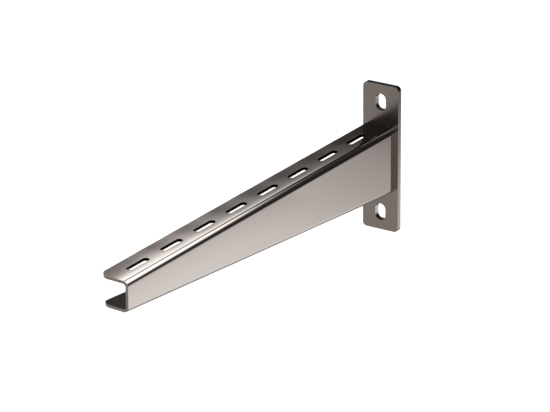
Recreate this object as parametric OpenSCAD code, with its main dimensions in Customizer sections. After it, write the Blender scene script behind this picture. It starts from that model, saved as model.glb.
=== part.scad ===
// Cantilever bracket for cable trays: a slotted head plate that bolts to a wall, and one arm
// folded from sheet as a channel that gets shallower towards its tip, welded inside the channel.
// The wall is the plane Y = 0, the arm reaches along -Y, and the open side of the channel is -X.
// The origin lies on the wall, midway between the two wall slots.

/* [Arm] */
// Reach of the arm in front of the head plate
arm_reach = 405; // [250:5:600]
// Width of the arm, over the web and both flanges
arm_w = 28.5; // [24:0.5:45]
// Depth of the channel where it meets the head plate
root_depth = 62; // [46:1:90]
// Depth of the channel at its tip
tip_depth = 27.5; // [22:0.5:44]
// Thickness of the arm's sheet
sheet_t = 2.5; // [1.5:0.25:3.5]
// Inside radius of both folds
fold_r = 2.5; // [1:0.25:4]
// Radius of the flanges' free corners at the tip
tip_corner_r = 10; // [2:0.5:14]

/* [Tray slots] */
// Width of each slot in the top flange
tray_slot_w = 6; // [4:0.25:9]
// Length of each slot in the top flange, end to end
tray_slot_len = 28; // [12:1:40]
// Distance from one slot's centre to the next
tray_slot_pitch = 47.25; // [44:0.25:80]
// Distance from the arm's tip to the centre of the first slot
tray_slot_start = 34; // [24:0.5:60]
// Least distance from the head plate to the centre of the last slot
tray_slot_stop = 35; // [24:1:80]

/* [Head plate] */
// How far the head plate stands out past each side of the arm
plate_margin = 3.75; // [1:0.25:20]
// Height of plate above the arm
plate_above = 38; // [30:1:70]
// Height of plate below the arm
plate_below = 36; // [30:1:70]
// Thickness of the head plate
plate_t = 5; // [3:0.5:8]
// Radius of the head plate's corners
plate_corner_r = 4; // [1:0.5:8]

/* [Wall slots] */
// Width of each wall slot, which passes the anchor bolt
wall_slot_w = 10.5; // [7:0.5:14]
// Length of each wall slot, end to end
wall_slot_len = 15.5; // [14.5:0.5:22]
// Distance from the plate's end to the centre of the wall slot
wall_slot_edge = 16.5; // [14:0.5:20]

/* [Weld] */
// Leg of the fillet weld along each of the two faces it joins
weld_leg = 3; // [1.5:0.25:4]
// How far the face of the weld swells out past flat
weld_crown = 0.4; // [0.1:0.05:0.6]
// How far each bead stops short of the folds and of the sheet's free edge
weld_stop = 2; // [1:0.25:4]

/* [Hidden] */
$fn = 96;

plate_w = arm_w + 2 * plate_margin;
plate_h = plate_above + root_depth + plate_below;
wall_slot_z = plate_h / 2 - wall_slot_edge;

// Outside radius of the folds, and the flat width that each flange has left beside its fold
outer_r = fold_r + sheet_t;
flange_w = arm_w - outer_r;

// The arm's ends along Y, its top face, and the lowest edge of its root
root_y = -plate_t;
tip_y = root_y - arm_reach;
top_z = plate_h / 2 - plate_above;
foot_z = top_z - root_depth;

// Height at which the web below meets the strip of web that hangs from the upper fold
seam_z = top_z - outer_r - sheet_t;

// Slope of the lower fold, and the height over it of the fold's end, measured upright
taper = atan((root_depth - tip_depth) / arm_reach);
fold_rise = outer_r / cos(taper);

// Inner faces that the weld lies against
web_inner_x = arm_w / 2 - sheet_t;
floor_z = foot_z + sheet_t / cos(taper);

// Start along X, and length, of the two beads that run across the flanges
flange_bead_start = -arm_w / 2 + weld_stop;
flange_bead_len = flange_w - 2 * weld_stop;

tray_slot_count = floor((arm_reach - tray_slot_start - tray_slot_stop) / tray_slot_pitch) + 1;

steel = [0.74, 0.72, 0.70];
bare_edge = [0.62, 0.60, 0.58];
weld_steel = [0.56, 0.54, 0.52];

// Outline of a slot with round ends, its length along X
module slot_outline(len, w) {
    square([len - w, w], center = true);
    for (side = [-1, 1])
        translate([side * (len - w) / 2, 0]) circle(d = w);
}

module rounded_plate_outline(w, h, r) {
    square([w - 2 * r, h], center = true);
    square([w, h - 2 * r], center = true);
    for (x = [-1, 1], y = [-1, 1])
        translate([x * (w / 2 - r), y * (h / 2 - r)]) circle(r);
}

module head_plate() {
    color(bare_edge)
        rotate([90, 0, 0])
            linear_extrude(plate_t)
                difference() {
                    rounded_plate_outline(plate_w, plate_h, plate_corner_r);
                    for (side = [-1, 1])
                        translate([0, side * wall_slot_z])
                            rotate(90) slot_outline(wall_slot_len, wall_slot_w);
                }
}

// Section of one fold, its centre at the origin: a flange to the left, web downwards
module fold_section(web_len) {
    translate([-flange_w, fold_r]) square([flange_w, sheet_t]);
    translate([fold_r, -web_len]) square([sheet_t, web_len]);
    intersection() {
        difference() {
            circle(outer_r);
            circle(fold_r);
        }
        square(outer_r);
    }
}

// Plan of a flange. The blank is cut off square to its top fold, so the end of the sloping
// flange runs back by the slope, and its free corner is rounded against that end.
module flange_plan(end_angle) {
    corner_x = tip_corner_r - arm_w / 2;
    corner = [corner_x,
              tip_y + (web_inner_x - corner_x) * tan(end_angle) + tip_corner_r / cos(end_angle)];
    polygon([[arm_w / 2, root_y],
             [-arm_w / 2, root_y],
             [-arm_w / 2, corner.y],
             corner,
             corner - tip_corner_r * [sin(end_angle), cos(end_angle)],
             [web_inner_x, tip_y],
             [arm_w / 2, tip_y]]);
    translate(corner) circle(tip_corner_r);
}

module upper_fold() {
    intersection() {
        translate([arm_w / 2 - outer_r, root_y, top_z - outer_r])
            rotate([90, 0, 0])
                linear_extrude(arm_reach) fold_section(sheet_t);
        linear_extrude(plate_h, center = true) flange_plan(0);
    }
}

// The lower fold carries the web. It is made over-long along its slope and over-deep, then
// trimmed upright at both ends and level at the seam.
module lower_fold() {
    intersection() {
        translate([0, root_y, foot_z])
            rotate([-taper, 0, 0])
                translate([arm_w / 2 - outer_r, outer_r, outer_r])
                    rotate([90, 0, 0])
                        linear_extrude(arm_reach / cos(taper) + 2 * outer_r)
                            mirror([0, 1]) fold_section(root_depth);
        translate([0, 0, foot_z - sheet_t])
            linear_extrude(seam_z - foot_z + sheet_t) flange_plan(taper);
    }
}

module arm() {
    color(steel)
        difference() {
            union() {
                upper_fold();
                lower_fold();
            }
            for (i = [0 : tray_slot_count - 1])
                translate([0, tip_y + tray_slot_start + i * tray_slot_pitch, top_z - outer_r])
                    linear_extrude(2 * outer_r)
                        rotate(90) slot_outline(tray_slot_len, tray_slot_w);
        }
}

// Section of a fillet weld in a corner of the given angle: one leg along X, the crown outwards
module bead_section(corner_angle) {
    half_chord = weld_leg * sin(corner_angle / 2);
    crown_r = (half_chord * half_chord + weld_crown * weld_crown) / (2 * weld_crown);
    far = 2 * weld_leg;
    intersection() {
        polygon([[0, 0],
                 [far, 0],
                 far * [cos(corner_angle / 2), sin(corner_angle / 2)],
                 far * [cos(corner_angle), sin(corner_angle)]]);
        rotate(corner_angle / 2)
            translate([weld_leg * cos(corner_angle / 2) + weld_crown - crown_r, 0])
                circle(crown_r);
    }
}

// A bead along Z from the origin, its two ends rounded as seen against the corner
module bead(len, corner_angle) {
    intersection() {
        linear_extrude(len) bead_section(corner_angle);
        rotate([0, 0, corner_angle / 2])
            translate([0, 0, len / 2])
                rotate([0, 90, 0])
                    linear_extrude(2 * weld_leg) slot_outline(len, 2 * weld_leg);
    }
}

module weld_top() {
    color(weld_steel)
        translate([flange_bead_start + flange_bead_len, root_y, top_z - sheet_t])
            rotate([0, -90, 0])
                rotate([0, 0, 180]) bead(flange_bead_len, 90);
}

module weld_web() {
    color(weld_steel)
        translate([web_inner_x, root_y, foot_z + fold_rise + weld_stop])
            rotate([0, 0, 180])
                bead(root_depth - outer_r - fold_rise - 2 * weld_stop, 90);
}

module weld_bottom() {
    color(weld_steel)
        translate([flange_bead_start, root_y, floor_z])
            rotate([0, 90, 0])
                rotate([0, 0, 180]) bead(flange_bead_len, 90 - taper);
}

head_plate();
arm();
weld_top();
weld_web();
weld_bottom();
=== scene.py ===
"""The looks of a cantilever bracket for cable trays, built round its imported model.

The bracket is stainless steel: an arm punched and folded from one sheet, and a head plate sheared
from flat bar, joined by fillet welds inside the channel. Each piece is a surface worked out on a
grid with numpy, in metres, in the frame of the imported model: the wall is the plane y = 0, the arm
reaches along -y, and the open side of its channel is -x.
"""
import logging
import math
from dataclasses import dataclass, field
from enum import Enum

import bmesh
import bpy
import numpy as np
from mathutils import Matrix, Vector


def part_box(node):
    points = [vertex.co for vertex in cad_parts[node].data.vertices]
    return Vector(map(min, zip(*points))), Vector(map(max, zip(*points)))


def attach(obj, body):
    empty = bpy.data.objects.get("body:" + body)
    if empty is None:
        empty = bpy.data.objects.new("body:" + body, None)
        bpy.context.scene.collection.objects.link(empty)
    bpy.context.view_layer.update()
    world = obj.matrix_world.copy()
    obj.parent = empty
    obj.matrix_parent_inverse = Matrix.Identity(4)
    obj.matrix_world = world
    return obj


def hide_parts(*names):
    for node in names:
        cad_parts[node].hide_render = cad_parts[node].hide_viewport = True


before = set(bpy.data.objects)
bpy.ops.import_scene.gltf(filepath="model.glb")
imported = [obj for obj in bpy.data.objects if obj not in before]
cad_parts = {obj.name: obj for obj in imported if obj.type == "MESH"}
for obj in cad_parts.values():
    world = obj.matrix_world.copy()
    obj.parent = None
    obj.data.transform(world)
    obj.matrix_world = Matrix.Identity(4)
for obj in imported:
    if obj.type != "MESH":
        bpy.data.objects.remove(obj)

# Three numbers, such as a place or a way in metres, or a plain colour
Triple = tuple[float, float, float]
# A colour and its cover
Colour = tuple[float, float, float, float]
# Points of a curve, each a place and its level
Curve = tuple[tuple[float, float], ...]

LOG = logging.getLogger("bracket")
MM = 0.001
WHITE: Colour = (1.0, 1.0, 1.0, 1.0)
BODY = "root"

# The reference picture's width and height, in pixels
PICTURE_W = 550
PICTURE_H = 412


class Side(Enum):
    """The two faces of a sheet, each with its depth as a share of the thickness."""

    OUTER = 0.0
    INNER = 1.0


class Slot(Enum):
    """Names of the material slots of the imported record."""

    PLATE = "plate_steel"
    SHEET = "sheet_steel"
    WELD = "weld_steel"


def corners(node: str) -> tuple[np.ndarray, np.ndarray]:
    """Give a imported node's lowest and highest corner.

    Args:
        node: Name of the node.

    Returns:
        The two corners, in metres.
    """
    low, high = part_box(node)
    return np.array(low), np.array(high)


def smooth_step(x: np.ndarray, start: float, stop: float) -> np.ndarray:
    """Ease from 0 at start to 1 at stop, as 3t squared less 2t cubed.

    Args:
        x: Where the step is wanted.
        start: Value of x where it leaves 0.
        stop: Value of x where it reaches 1.

    Returns:
        The step, from 0 to 1, of the same shape as x.
    """
    t = np.clip((x - start) / (stop - start), 0.0, 1.0)
    return t * t * (3.0 - 2.0 * t)


def unit(v: np.ndarray) -> np.ndarray:
    """Scale vectors, held along the last axis, to length 1."""
    return v / np.maximum(np.linalg.norm(v, axis=-1, keepdims=True), 1e-12)


def spans(*parts: tuple[float, float, int]) -> np.ndarray:
    """Join evenly divided stretches into one run of stations.

    Args:
        parts: Start, end and number of steps of each stretch, each starting where the last ended.

    Returns:
        The stations, from the first start to the last end.
    """
    pieces = [np.linspace(a, b, n + 1)[:-1] for a, b, n in parts]
    return np.concatenate([*pieces, [parts[-1][1]]])


def cell_quads(index: np.ndarray) -> np.ndarray:
    """Give the corners of each cell of a grid of point numbers, of shape (rows, columns, 4)."""
    return np.stack([index[:-1, :-1], index[1:, :-1], index[1:, 1:], index[:-1, 1:]], axis=-1)


def store_share(mesh: bpy.types.Mesh, label: str, values: np.ndarray) -> None:
    """Store one number on each point of a mesh, under a name that materials can read."""
    layer = mesh.attributes.new(label, "FLOAT", "POINT")
    layer.data.foreach_set("value", values.astype(np.float32))


def in_scene(name: str, data: bpy.types.ID) -> bpy.types.Object:
    """Make an object and put it in the scene.

    Args:
        name: Name of the object.
        data: Its mesh, lamp or lens.

    Returns:
        The object.
    """
    made = bpy.data.objects.new(name, data)
    bpy.context.scene.collection.objects.link(made)
    return made


def cleared_tree(owner: bpy.types.Material | bpy.types.World) -> bpy.types.NodeTree:
    """Switch on the nodes of a material or of the world, and clear them away.

    Args:
        owner: The material or world.

    Returns:
        Its empty tree.
    """
    owner.use_nodes = True
    owner.node_tree.nodes.clear()
    return owner.node_tree


@dataclass
class Skin:
    """Grids of points that are welded into one closed surface.

    Each point carries three shares from 0 to 1: cut, for a sheared or punched edge, inner, for
    the face of a sheet that ends up inside the fold, and wear, for painted shade: the
    dark lines and walls that stand in for shade and dark reflections.

    Args:
        points: The points of each grid, of shape (n, 3).
        quads: Its quads, as numbers of points among all grids.
        shares: Its points' shares, by their names.
        count: How many points there are in all.
    """

    points: list[np.ndarray] = field(default_factory=list)
    quads: list[np.ndarray] = field(default_factory=list)
    shares: dict[str, list[np.ndarray]] = field(
        default_factory=lambda: {"cut": [], "inner": [], "wear": []})
    count: int = 0

    def add_grid(self, grid: np.ndarray, keep: np.ndarray | None = None, closed: bool = False,
                 **shares: np.ndarray | float) -> None:
        """Add a grid of points with a quad in each cell.

        Args:
            grid: The points, of shape (rows, columns, 3).
            keep: Which cells get a quad, or None for all of them.
            closed: Whether the last row joins the first.
            shares: Any of the three shares, as one number or as one for each point.
        """
        rows, columns = grid.shape[:2]
        index = np.arange(rows * columns).reshape(rows, columns)
        if closed:
            index = np.vstack([index, index[:1]])
        quads = cell_quads(index)
        quads = quads.reshape(-1, 4) if keep is None else quads[keep]
        self.points.append(grid.reshape(-1, 3))
        self.quads.append(quads + self.count)
        for label, values in self.shares.items():
            values.append(np.broadcast_to(shares.get(label, 0.0), (rows, columns)).reshape(-1))
        self.count += rows * columns

    def build(self, name: str, weld_distance: float = 2e-6) -> bpy.types.Object:
        """Weld the grids and make them an object.

        Each corner's normal is the mean of its faces' normals by area, so that flat faces stay flat
        beside small rounded edges.

        Args:
            name: Name of the object.
            weld_distance: Points closer than this become one.

        Returns:
            The object, at the origin, with its place in its mesh.
        """
        mesh = bpy.data.meshes.new(name)
        mesh.from_pydata(np.concatenate(self.points).tolist(), [],
                         np.concatenate(self.quads).tolist())
        for label, values in self.shares.items():
            store_share(mesh, label, np.concatenate(values))
        welded = bmesh.new()
        welded.from_mesh(mesh)
        bmesh.ops.remove_doubles(welded, verts=welded.verts, dist=weld_distance)
        bmesh.ops.dissolve_degenerate(welded, edges=welded.edges, dist=weld_distance / 2)
        bmesh.ops.recalc_face_normals(welded, faces=welded.faces)
        welded.to_mesh(mesh)
        welded.free()
        mesh.shade_smooth()
        mesh.normals_split_custom_set_from_vertices(self.mean_normals(mesh).tolist())
        return in_scene(name, mesh)

    @staticmethod
    def mean_normals(mesh: bpy.types.Mesh) -> np.ndarray:
        """Give each vertex the sum of its faces' normals times their areas, scaled to length 1.

        Args:
            mesh: The welded mesh.

        Returns:
            One normal for each vertex, of shape (n, 3).
        """
        faces = len(mesh.polygons)
        normal = np.empty(faces * 3)
        mesh.polygons.foreach_get("normal", normal)
        area = np.empty(faces)
        mesh.polygons.foreach_get("area", area)
        total = np.empty(faces, dtype=np.int64)
        mesh.polygons.foreach_get("loop_total", total)
        corner = np.empty(len(mesh.loops), dtype=np.int64)
        mesh.loops.foreach_get("vertex_index", corner)
        pull = np.repeat(normal.reshape(-1, 3) * area[:, None], total, axis=0)
        sums = np.zeros((len(mesh.vertices), 3))
        np.add.at(sums, corner, pull)
        return unit(sums)


@dataclass(frozen=True)
class PunchedSlot:
    """A slot with round ends in a flat blank, with the grid that leads from it to a square cell.

    Args:
        across: Where its middle lies across the blank.
        along: Where its middle lies along the blank.
        radius: Radius of its ends, which is half its width.
        straight: Half the length of its straight part.
        cell_across: Half the width of its cell.
        cell_along: Half the length of its cell.
        end_steps: Quads along the cell's side, past each end of the slot's straight part.
        side_steps: Quads along the straight part.
        cross_steps: Quads across the cell.
        rings: Rings of quads between the slot and the cell's outline.
        crowding: Power by which the rings crowd at the slot.
    """

    across: float
    along: float
    radius: float
    straight: float
    cell_across: float
    cell_along: float
    end_steps: int = 8
    side_steps: int = 8
    cross_steps: int = 16
    rings: int = 6
    crowding: float = 1.7

    def bearing(self) -> tuple[np.ndarray, np.ndarray]:
        """Give the way out of the slot round its edge, and the end that each point turns about.

        The bearing turns evenly round each end and stands still along each side.

        Returns:
            The bearings in radians, and the offset of the turning centre along the blank.
        """
        e, s, c = self.end_steps, self.side_steps, self.cross_steps
        step = math.pi / (2 * e + c)
        half_turn = np.arange(2 * e + c) * step
        flat = np.zeros(s)
        right = np.concatenate([flat, half_turn])
        bearing = np.concatenate([right, right + math.pi])
        slide = np.linspace(-self.straight, self.straight, s + 1)[:-1]
        centre = np.concatenate([slide, np.full(2 * e + c, self.straight)])
        return bearing, np.concatenate([centre, -centre])

    def edge(self, grown: float) -> np.ndarray:
        """Give the slot's edge, moved outwards.

        Args:
            grown: How far the edge is moved into the sheet.

        Returns:
            Points of the blank round the slot, of shape (n, 2).
        """
        bearing, centre = self.bearing()
        reach = self.radius + grown
        return np.stack([self.across + reach * np.cos(bearing),
                         self.along + centre + reach * np.sin(bearing)], axis=-1)

    def dragged(self, start: float) -> np.ndarray:
        """Give the share of its wall that gets painted shade, point for point with its edge.

        It eases in from the start to twice the start, both sines of the bearing.

        Args:
            start: Sine of the bearing from which the wall gets painted shade, with 0 for all of it.

        Returns:
            The shares, of shape (n,).
        """
        bearing, _ = self.bearing()
        if start <= 0:
            return np.ones(len(bearing))
        return smooth_step(np.abs(np.sin(bearing)), start, min(2 * start, 1.0))

    def cell_across_stations(self) -> np.ndarray:
        """Give the stations across the blank that the cell's ends hold."""
        return self.across + np.linspace(-self.cell_across, self.cell_across, self.cross_steps + 1)

    def cell_along_stations(self) -> np.ndarray:
        """Give the stations along the blank that the cell's sides hold."""
        return self.along + spans((-self.cell_along, -self.straight, self.end_steps),
                                  (-self.straight, self.straight, self.side_steps),
                                  (self.straight, self.cell_along, self.end_steps))

    def cell_edge(self) -> np.ndarray:
        """Give the cell's outline, point for point with the slot's edge.

        Returns:
            Points of the blank round the cell, of shape (n, 2).
        """
        x, y = self.cell_across_stations(), self.cell_along_stations()
        right = np.stack([np.full(len(y), x[-1]), y], axis=-1)[:-1]
        top = np.stack([x[::-1], np.full(len(x), y[-1])], axis=-1)[:-1]
        left = np.stack([np.full(len(y), x[0]), y[::-1]], axis=-1)[:-1]
        bottom = np.stack([x, np.full(len(x), y[0])], axis=-1)[:-1]
        loop = np.concatenate([right, top, left, bottom])
        return np.roll(loop, -self.end_steps, axis=0)

    def grid(self, grown: float) -> np.ndarray:
        """Give the rings of points from the slot's edge to the cell.

        A ring lies between the two by a share that grows as a power, so rings crowd at the slot.

        Args:
            grown: How far the edge is moved into the sheet.

        Returns:
            Points of the blank, of shape (points round, rings, 2).
        """
        share = np.linspace(0.0, 1.0, self.rings + 1)[None, :, None] ** self.crowding
        return self.edge(grown)[:, None] * (1 - share) + self.cell_edge()[:, None] * share

    def distance(self, plan: np.ndarray) -> np.ndarray:
        """Give how far points of the blank lie from the slot's edge.

        Args:
            plan: Points of the blank, of shape (..., 2).

        Returns:
            The distances, negative inside the slot.
        """
        across = plan[..., 0] - self.across
        along = plan[..., 1] - self.along
        beyond = along - np.clip(along, -self.straight, self.straight)
        return np.hypot(across, beyond) - self.radius


@dataclass
class PunchedSheet:
    """A sheet cut from a flat blank: two skins on one grid, and a rim round each edge.

    The blank's points are (across, along). A sub-class says where they lie on the finished piece.

    Args:
        thickness: Thickness of the sheet.
        roll: Radius of the edge that the punch or blade rolled over, on the outer skin.
        burr: Radius of the deburred edge on the inner skin.
        lean: How far the torn part of the cut stands back from its burnished part.
        burnished: Share of the thickness that the blade cut clean.
        punch_wear: Share of painted shade on the walls of its slots, standing in for the shade in
            the holes.
        punch_taper: How much further in a slot's edge lies on the inner skin.
        drag_from: Sine of the bearing round a slot's ends from which its wall gets painted shade.
        arc_steps: Steps round each rolled or deburred edge.
    """

    thickness: float
    roll: float
    burr: float
    lean: float
    burnished: float
    punch_wear: float = 0.0
    punch_taper: float = 0.0
    drag_from: float = 0.0
    arc_steps: int = 4

    def place(self, plan: np.ndarray, side: Side) -> np.ndarray:
        """Put points of the blank on a skin of the finished piece.

        Args:
            plan: Points of the blank, of shape (..., 2).
            side: Which skin.

        Returns:
            Points in metres, of shape (..., 3).
        """
        raise NotImplementedError

    def columns(self) -> np.ndarray:
        """Give the grid's stations across the blank."""
        raise NotImplementedError

    def stations(self) -> np.ndarray:
        """Give the grid's stations along the blank."""
        raise NotImplementedError

    def slots(self) -> list[PunchedSlot]:
        """Give the slots that are punched in the blank."""
        raise NotImplementedError

    def rounded(self, plan: np.ndarray) -> np.ndarray:
        """Round the corners of a rectangular plan."""
        raise NotImplementedError

    def wear(self, plan: np.ndarray, side: Side) -> np.ndarray:
        """Give the share of painted shade at points of the blank, which is none here."""
        return np.zeros(plan.shape[:-1])

    def outline_wear(self, plan: np.ndarray) -> np.ndarray:
        """Give the share of painted shade at points of the outline, which is none here."""
        return np.zeros(len(plan))

    @staticmethod
    def round_corner(plan: np.ndarray, corner: tuple[float, float], radius: float) -> np.ndarray:
        """Draw a square corner of a plan in to a quarter circle.

        In the square of that radius at the corner, with u and v the shares of the way from its
        inner point to the two edges, each point moves along its ray by the larger of u and v over
        the root of u squared plus v squared. Its straight outer edges then lie on the circle.

        Args:
            plan: Points of the blank, of shape (..., 2).
            corner: The sharp corner of the grid.
            radius: Radius of the quarter circle.

        Returns:
            The plan with that corner rounded.
        """
        corner_at = np.array(corner)
        middle = plan.reshape(-1, 2).mean(axis=0)
        inward = np.sign(middle - corner_at)
        centre = corner_at + inward * radius
        share = (plan - centre) / radius * -inward
        u, v = share[..., 0], share[..., 1]
        inside = (u > 0) & (v > 0)
        length = np.where(inside, np.hypot(u, v), 1.0)
        pull = np.where(inside, np.maximum(u, v) / length, 1.0)
        return np.where(inside[..., None], centre + (plan - centre) * pull[..., None], plan)

    def rim(self, skin: Skin, plan: np.ndarray, inner_plan: np.ndarray,
            wear: np.ndarray | float = 0.0) -> None:
        """Close an edge of the blank between its two skins.

        The section starts on the outer skin, rolls over by a quarter circle, runs straight down
        where the blade cut, leans back where the metal tore, and turns by a quarter ellipse into
        the inner skin. Its share of painted shade is full from where the blade cut clean.

        Args:
            skin: The surface that the rim is added to.
            plan: Points of the blank round the edge, with the sheet on their left, of shape (n, 2).
            inner_plan: The same for the edge of the inner skin.
            wear: Share of painted shade on it, as one number or as one for each point.
        """
        outer = self.place(plan, Side.OUTER)
        inner = self.place(inner_plan, Side.INNER)
        middle = (outer + inner) / 2
        onward = unit(np.roll(middle, -1, axis=0) - np.roll(middle, 1, axis=0))
        outward = unit(np.cross(onward, unit(outer - inner)))
        out, depth, cut = self.rim_section()
        share = (depth / self.thickness)[None, :, None]
        grid = outer[:, None] * (1 - share) + inner[:, None] * share
        grid = grid + outward[:, None] * out[None, :, None]
        skin.add_grid(grid, closed=True, cut=cut, inner=share[..., 0],
                      wear=np.reshape(wear, (-1, 1)) * np.minimum(2 * cut, 1.0))

    def rim_section(self) -> tuple[np.ndarray, np.ndarray, np.ndarray]:
        """Give the section of a cut edge, from the outer skin to the inner one.

        Returns:
            How far out it stands, how deep it lies, and its share of cut edge: 0 on the skins,
            a half where the blade cut clean and 1 where the metal tore.
        """
        turn = np.linspace(0.0, math.pi / 2, self.arc_steps + 1)
        back = turn[::-1]
        foot = self.roll - self.lean
        tear = self.burnished * self.thickness
        out = np.concatenate([self.roll * np.sin(turn), [self.roll, self.roll - self.lean / 4],
                              foot * np.sin(back)])
        depth = np.concatenate([self.roll * (1 - np.cos(turn)), [tear, tear + self.lean],
                                self.thickness - self.burr * (1 - np.cos(back))])
        cut = np.concatenate([turn / turn[-1] / 2, [0.5, 1.0], np.minimum(2 * back / back[0], 1)])
        return out, depth, cut

    def surface(self) -> Skin:
        """Work out the whole sheet: both skins, and the rims of its outline and of its slots.

        Returns:
            The skins and rims, not yet welded.
        """
        across, along = self.columns(), self.stations()
        plan = self.rounded(np.stack(np.meshgrid(across, along, indexing="ij"), axis=-1))
        keep = np.ones((len(across) - 1, len(along) - 1), dtype=bool)
        mid_across = (across[1:] + across[:-1]) / 2
        mid_along = (along[1:] + along[:-1]) / 2
        skin = Skin()
        for slot in self.slots():
            in_across = np.abs(mid_across - slot.across) < slot.cell_across
            in_along = np.abs(mid_along - slot.along) < slot.cell_along
            keep &= ~(in_across[:, None] & in_along[None, :])
            edges = {side: self.roll - side.value * self.punch_taper for side in Side}
            for side, grown in edges.items():
                skin.add_grid(self.place(slot.grid(grown), side), closed=True, inner=side.value)
            # The slot's rim gets painted shade on its wall, standing in for the shade inside the
            # hole
            self.rim(skin, *(slot.edge(grown)[::-1] for grown in edges.values()),
                     wear=self.punch_wear * slot.dragged(self.drag_from)[::-1])
        for side in Side:
            skin.add_grid(self.place(plan, side), keep=keep, inner=side.value,
                          wear=self.wear(plan, side))
        outline = np.concatenate([plan[:-1, 0], plan[-1, :-1], plan[:0:-1, -1], plan[0, :0:-1]])
        self.rim(skin, outline, outline, self.outline_wear(outline))
        return skin


@dataclass
class HeadPlate(PunchedSheet):
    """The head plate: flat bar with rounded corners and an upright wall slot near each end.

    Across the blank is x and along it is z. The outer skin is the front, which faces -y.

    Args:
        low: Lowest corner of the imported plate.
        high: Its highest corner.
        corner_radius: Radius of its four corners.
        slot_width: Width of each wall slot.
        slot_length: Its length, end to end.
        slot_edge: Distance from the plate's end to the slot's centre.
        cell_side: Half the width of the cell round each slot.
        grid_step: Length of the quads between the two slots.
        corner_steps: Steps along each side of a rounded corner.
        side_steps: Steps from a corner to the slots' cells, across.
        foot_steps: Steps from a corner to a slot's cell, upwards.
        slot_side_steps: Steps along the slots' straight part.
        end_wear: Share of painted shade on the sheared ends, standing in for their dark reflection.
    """

    low: np.ndarray = field(default_factory=lambda: corners("head_plate")[0])
    high: np.ndarray = field(default_factory=lambda: corners("head_plate")[1])
    corner_radius: float = 4.0 * MM
    slot_width: float = 10.5 * MM
    slot_length: float = 15.5 * MM
    slot_edge: float = 16.5 * MM
    cell_side: float = 9.5 * MM
    grid_step: float = 1.5 * MM
    corner_steps: int = 6
    side_steps: int = 3
    foot_steps: int = 2
    slot_side_steps: int = 4
    end_wear: float = 0.95

    def slots(self) -> list[PunchedSlot]:
        """Give the two wall slots, each a set distance from its end of the plate.

        Returns:
            The lower slot and the upper one.
        """
        centre = (self.low[0] + self.high[0]) / 2
        radius = self.slot_width / 2
        straight = (self.slot_length - self.slot_width) / 2
        return [PunchedSlot(centre, along, radius, straight, self.cell_side,
                            straight + self.cell_side, side_steps=self.slot_side_steps)
                for along in (self.low[2] + self.slot_edge, self.high[2] - self.slot_edge)]

    def columns(self) -> np.ndarray:
        """Give the stations across, fine where the corners are rounded.

        Returns:
            The stations, the same on both sides of the middle.
        """
        lower = self.slots()[0].cell_across_stations()
        turned = self.low[0] + self.corner_radius
        left = spans((self.low[0] + self.roll, turned, self.corner_steps),
                     (turned, lower[0], self.side_steps))
        return np.concatenate([left[:-1], lower, -left[-2::-1]])

    def stations(self) -> np.ndarray:
        """Give the stations upwards, fine at the corners and even where the welds lie.

        Returns:
            The stations, the same above and below the middle.
        """
        lower, upper = (slot.cell_along_stations() for slot in self.slots())
        turned = self.low[2] + self.corner_radius
        foot = spans((self.low[2] + self.roll, turned, self.corner_steps),
                     (turned, lower[0], self.foot_steps))
        steps = round((upper[0] - lower[-1]) / self.grid_step)
        middle = np.linspace(lower[-1], upper[0], steps + 1)
        return np.concatenate([foot[:-1], lower[:-1], middle, upper[1:], -foot[-2::-1]])

    def rounded(self, plan: np.ndarray) -> np.ndarray:
        """Round the plate's four corners.

        Args:
            plan: Points of the blank, of shape (..., 2).

        Returns:
            The rounded plan.
        """
        radius = self.corner_radius - self.roll
        for x in (self.low[0] + self.roll, self.high[0] - self.roll):
            for z in (self.low[2] + self.roll, self.high[2] - self.roll):
                plan = self.round_corner(plan, (x, z), radius)
        return plan

    def outline_wear(self, plan: np.ndarray) -> np.ndarray:
        """Paint shade on the sheared ends, easing in over the first two thirds of the corner
        radius.
        """
        return self.end_wear * smooth_step(np.abs(plan[:, 1]), self.high[2] - self.corner_radius,
                                           self.high[2] - self.corner_radius / 3)

    def place(self, plan: np.ndarray, side: Side) -> np.ndarray:
        """Put points of the blank on the plate's front or back.

        Args:
            plan: Points of the blank, of shape (..., 2).
            side: The front for the outer skin, and the back for the inner one.

        Returns:
            Points in metres, of shape (..., 3).
        """
        y = np.full(plan.shape[:-1], self.low[1] + side.value * self.thickness)
        return np.stack([plan[..., 0], y, plan[..., 1]], axis=-1)


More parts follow.
